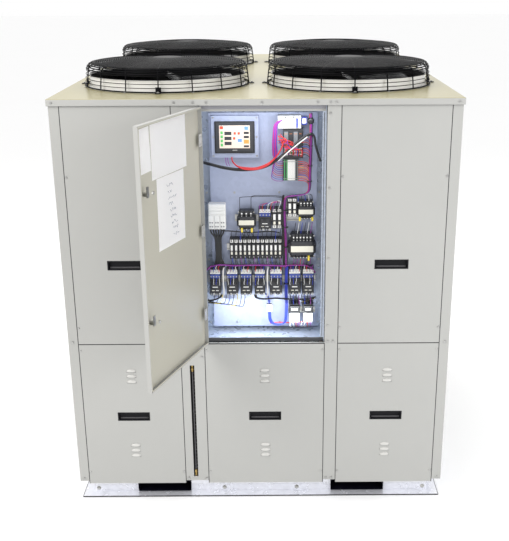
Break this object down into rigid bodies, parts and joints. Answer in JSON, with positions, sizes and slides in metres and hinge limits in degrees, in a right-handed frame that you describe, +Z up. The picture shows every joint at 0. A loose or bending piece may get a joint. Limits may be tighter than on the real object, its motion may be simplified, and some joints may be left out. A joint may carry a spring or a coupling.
{
  "type": "packaged air-cooled scroll chiller",
  "caption": "Cream sheet-metal cabinet on a fork-lift base with guarded roof fans, pull-off front covers, an open electrical door with its control gear, coils and scroll compressors inside.",
  "frame": {"origin": "middle of the cabinet footprint on the floor, on the underside of the base cross member", "axes": "+Z up, +X to the right seen from the front, the front face and its door look along -Y"},
  "size_m": [2, 3.0874, 2.3454],
  "materials": {
    "cream_paint": "satin powder coat",
    "deck_paint": "satin powder coat",
    "galvanised": "galvanised",
    "black_wire": "gloss",
    "dark_paint": "satin",
    "coil_aluminium": "finned",
    "screen_case": "gloss",
    "device_plastic": "matt",
    "white_plastic": "matt",
    "transformer_core": "satin",
    "brass": "satin",
    "machined_steel": "machined",
    "cast_scroll": "machined",
    "insulation": "matt foam",
    "pump_paint": "gloss",
    "pipe_paint": "satin",
    "copper": "drawn copper tube"
  },
  "bodies": {
    "cabinet": {"base_frame": "galvanised", "floor_pan": "galvanised", "corner_post_front_left": "cream_paint", "corner_post_front_right": "cream_paint", "corner_post_rear_left": "cream_paint", "corner_post_rear_right": "cream_paint", "front_mid_post_left": "cream_paint", "front_mid_post_right": "cream_paint", "rear_mid_post": "cream_paint", "fan_deck": "deck_paint", "fan_guard_front_left": "black_wire", "fan_guard_front_right": "black_wire", "fan_guard_rear_left": "black_wire", "fan_guard_rear_right": "black_wire", "fan_motor_front_left": "dark_paint", "fan_motor_front_right": "dark_paint", "fan_motor_rear_left": "dark_paint", "fan_motor_rear_right": "dark_paint", "condenser_coil_left": "coil_aluminium", "condenser_coil_right": "coil_aluminium", "rear_left_panel": "cream_paint", "rear_right_panel": "cream_paint", "left_side_panel": "cream_paint", "right_side_panel": "cream_paint", "electrical_enclosure": "galvanised", "mounting_plate": "galvanised", "touchscreen": "screen_case", "controller": "device_plastic", "power_block": "white_plastic", "transformer_left": "transformer_core", "transformer_right": "transformer_core", "transformer_large": "transformer_core", "fuse_bank": "device_plastic", "contactor_row": "galvanised", "level_gauge": "brass", "compressor_a_shell": "dark_paint", "compressor_a_fixed_scroll": "cast_scroll", "compressor_b_shell": "dark_paint", "compressor_b_fixed_scroll": "cast_scroll", "evaporator_tank": "insulation", "water_pump": "pump_paint", "water_outlet_pipe": "pipe_paint", "suction_pipe": "copper", "discharge_pipe": "copper"},
    "door": {"door": "cream_paint"},
    "latch_upper": {"door_latch_upper": "machined_steel"},
    "latch_lower": {"door_latch_lower": "machined_steel"},
    "fan_front_left": {"fan_rotor_front_left": "dark_paint"},
    "fan_front_right": {"fan_rotor_front_right": "dark_paint"},
    "fan_rear_left": {"fan_rotor_rear_left": "dark_paint"},
    "fan_rear_right": {"fan_rotor_rear_right": "dark_paint"},
    "upper_left_cover": {"upper_left_panel": "cream_paint"},
    "upper_right_cover": {"upper_right_panel": "cream_paint"},
    "lower_left_cover": {"lower_left_panel": "cream_paint"},
    "lower_center_cover": {"lower_center_panel": "cream_paint"},
    "lower_right_cover": {"lower_right_panel": "cream_paint"},
    "crank_a": {"compressor_a_crankshaft": "machined_steel"},
    "orbit_a": {"compressor_a_orbiting_scroll": "machined_steel"},
    "crank_b": {"compressor_b_crankshaft": "machined_steel"},
    "orbit_b": {"compressor_b_orbiting_scroll": "machined_steel"}
  },
  "joints": [
    {"name": "door_hinge", "type": "hinge", "parent": "cabinet", "child": "door", "pos_m": [-0.281, -1.225, 1.5525], "axis": [0, 0, 1], "range_deg": [-55, 110.8]},
    {"name": "latch_upper_turn", "type": "hinge", "parent": "door", "child": "latch_upper", "pos_m": [-0.48696, -1.7672, 1.866], "axis": [0.9348, -0.3551, 0], "range_deg": [0, 90]},
    {"name": "latch_lower_turn", "type": "hinge", "parent": "door", "child": "latch_lower", "pos_m": [-0.48696, -1.7672, 1.274], "axis": [0.9348, -0.3551, 0], "range_deg": [0, 90]},
    {"name": "fan_front_left_spin", "type": "hinge", "parent": "cabinet", "child": "fan_front_left", "pos_m": [-0.487, -0.6, 2.086], "axis": [0, 0, 1], "continuous": true},
    {"name": "fan_front_right_spin", "type": "hinge", "parent": "cabinet", "child": "fan_front_right", "pos_m": [0.487, -0.6, 2.086], "axis": [0, 0, 1], "continuous": true},
    {"name": "fan_rear_left_spin", "type": "hinge", "parent": "cabinet", "child": "fan_rear_left", "pos_m": [-0.487, 0.6, 2.086], "axis": [0, 0, 1], "continuous": true},
    {"name": "fan_rear_right_spin", "type": "hinge", "parent": "cabinet", "child": "fan_rear_right", "pos_m": [0.487, 0.6, 2.086], "axis": [0, 0, 1], "continuous": true},
    {"name": "upper_left_pull", "type": "slide", "parent": "cabinet", "child": "upper_left_cover", "axis": [0, -1, 0], "range_m": [0, 0.12]},
    {"name": "upper_right_pull", "type": "slide", "parent": "cabinet", "child": "upper_right_cover", "axis": [0, -1, 0], "range_m": [0, 0.12]},
    {"name": "lower_left_pull", "type": "slide", "parent": "cabinet", "child": "lower_left_cover", "axis": [0, -1, 0], "range_m": [0, 0.12]},
    {"name": "lower_center_pull", "type": "slide", "parent": "cabinet", "child": "lower_center_cover", "axis": [0, -1, 0], "range_m": [0, 0.12]},
    {"name": "lower_right_pull", "type": "slide", "parent": "cabinet", "child": "lower_right_cover", "axis": [0, -1, 0], "range_m": [0, 0.12]},
    {"name": "crank_a_spin", "type": "hinge", "parent": "cabinet", "child": "crank_a", "pos_m": [0.35, -0.75, 0.1245], "axis": [0, 0, 1], "continuous": true},
    {"name": "orbit_a_counter", "type": "hinge", "parent": "crank_a", "child": "orbit_a", "pos_m": [0.35864, -0.75, 0.4905], "axis": [0, 0, 1], "continuous": true},
    {"name": "crank_b_spin", "type": "hinge", "parent": "cabinet", "child": "crank_b", "pos_m": [0.72, -0.75, 0.1245], "axis": [0, 0, 1], "continuous": true},
    {"name": "orbit_b_counter", "type": "hinge", "parent": "crank_b", "child": "orbit_b", "pos_m": [0.72864, -0.75, 0.4905], "axis": [0, 0, 1], "continuous": true}
  ],
  "couplings": [
    {"joint": "orbit_a_counter", "follows": "crank_a_spin", "ratio": -1},
    {"joint": "orbit_b_counter", "follows": "crank_b_spin", "ratio": -1}
  ]
}
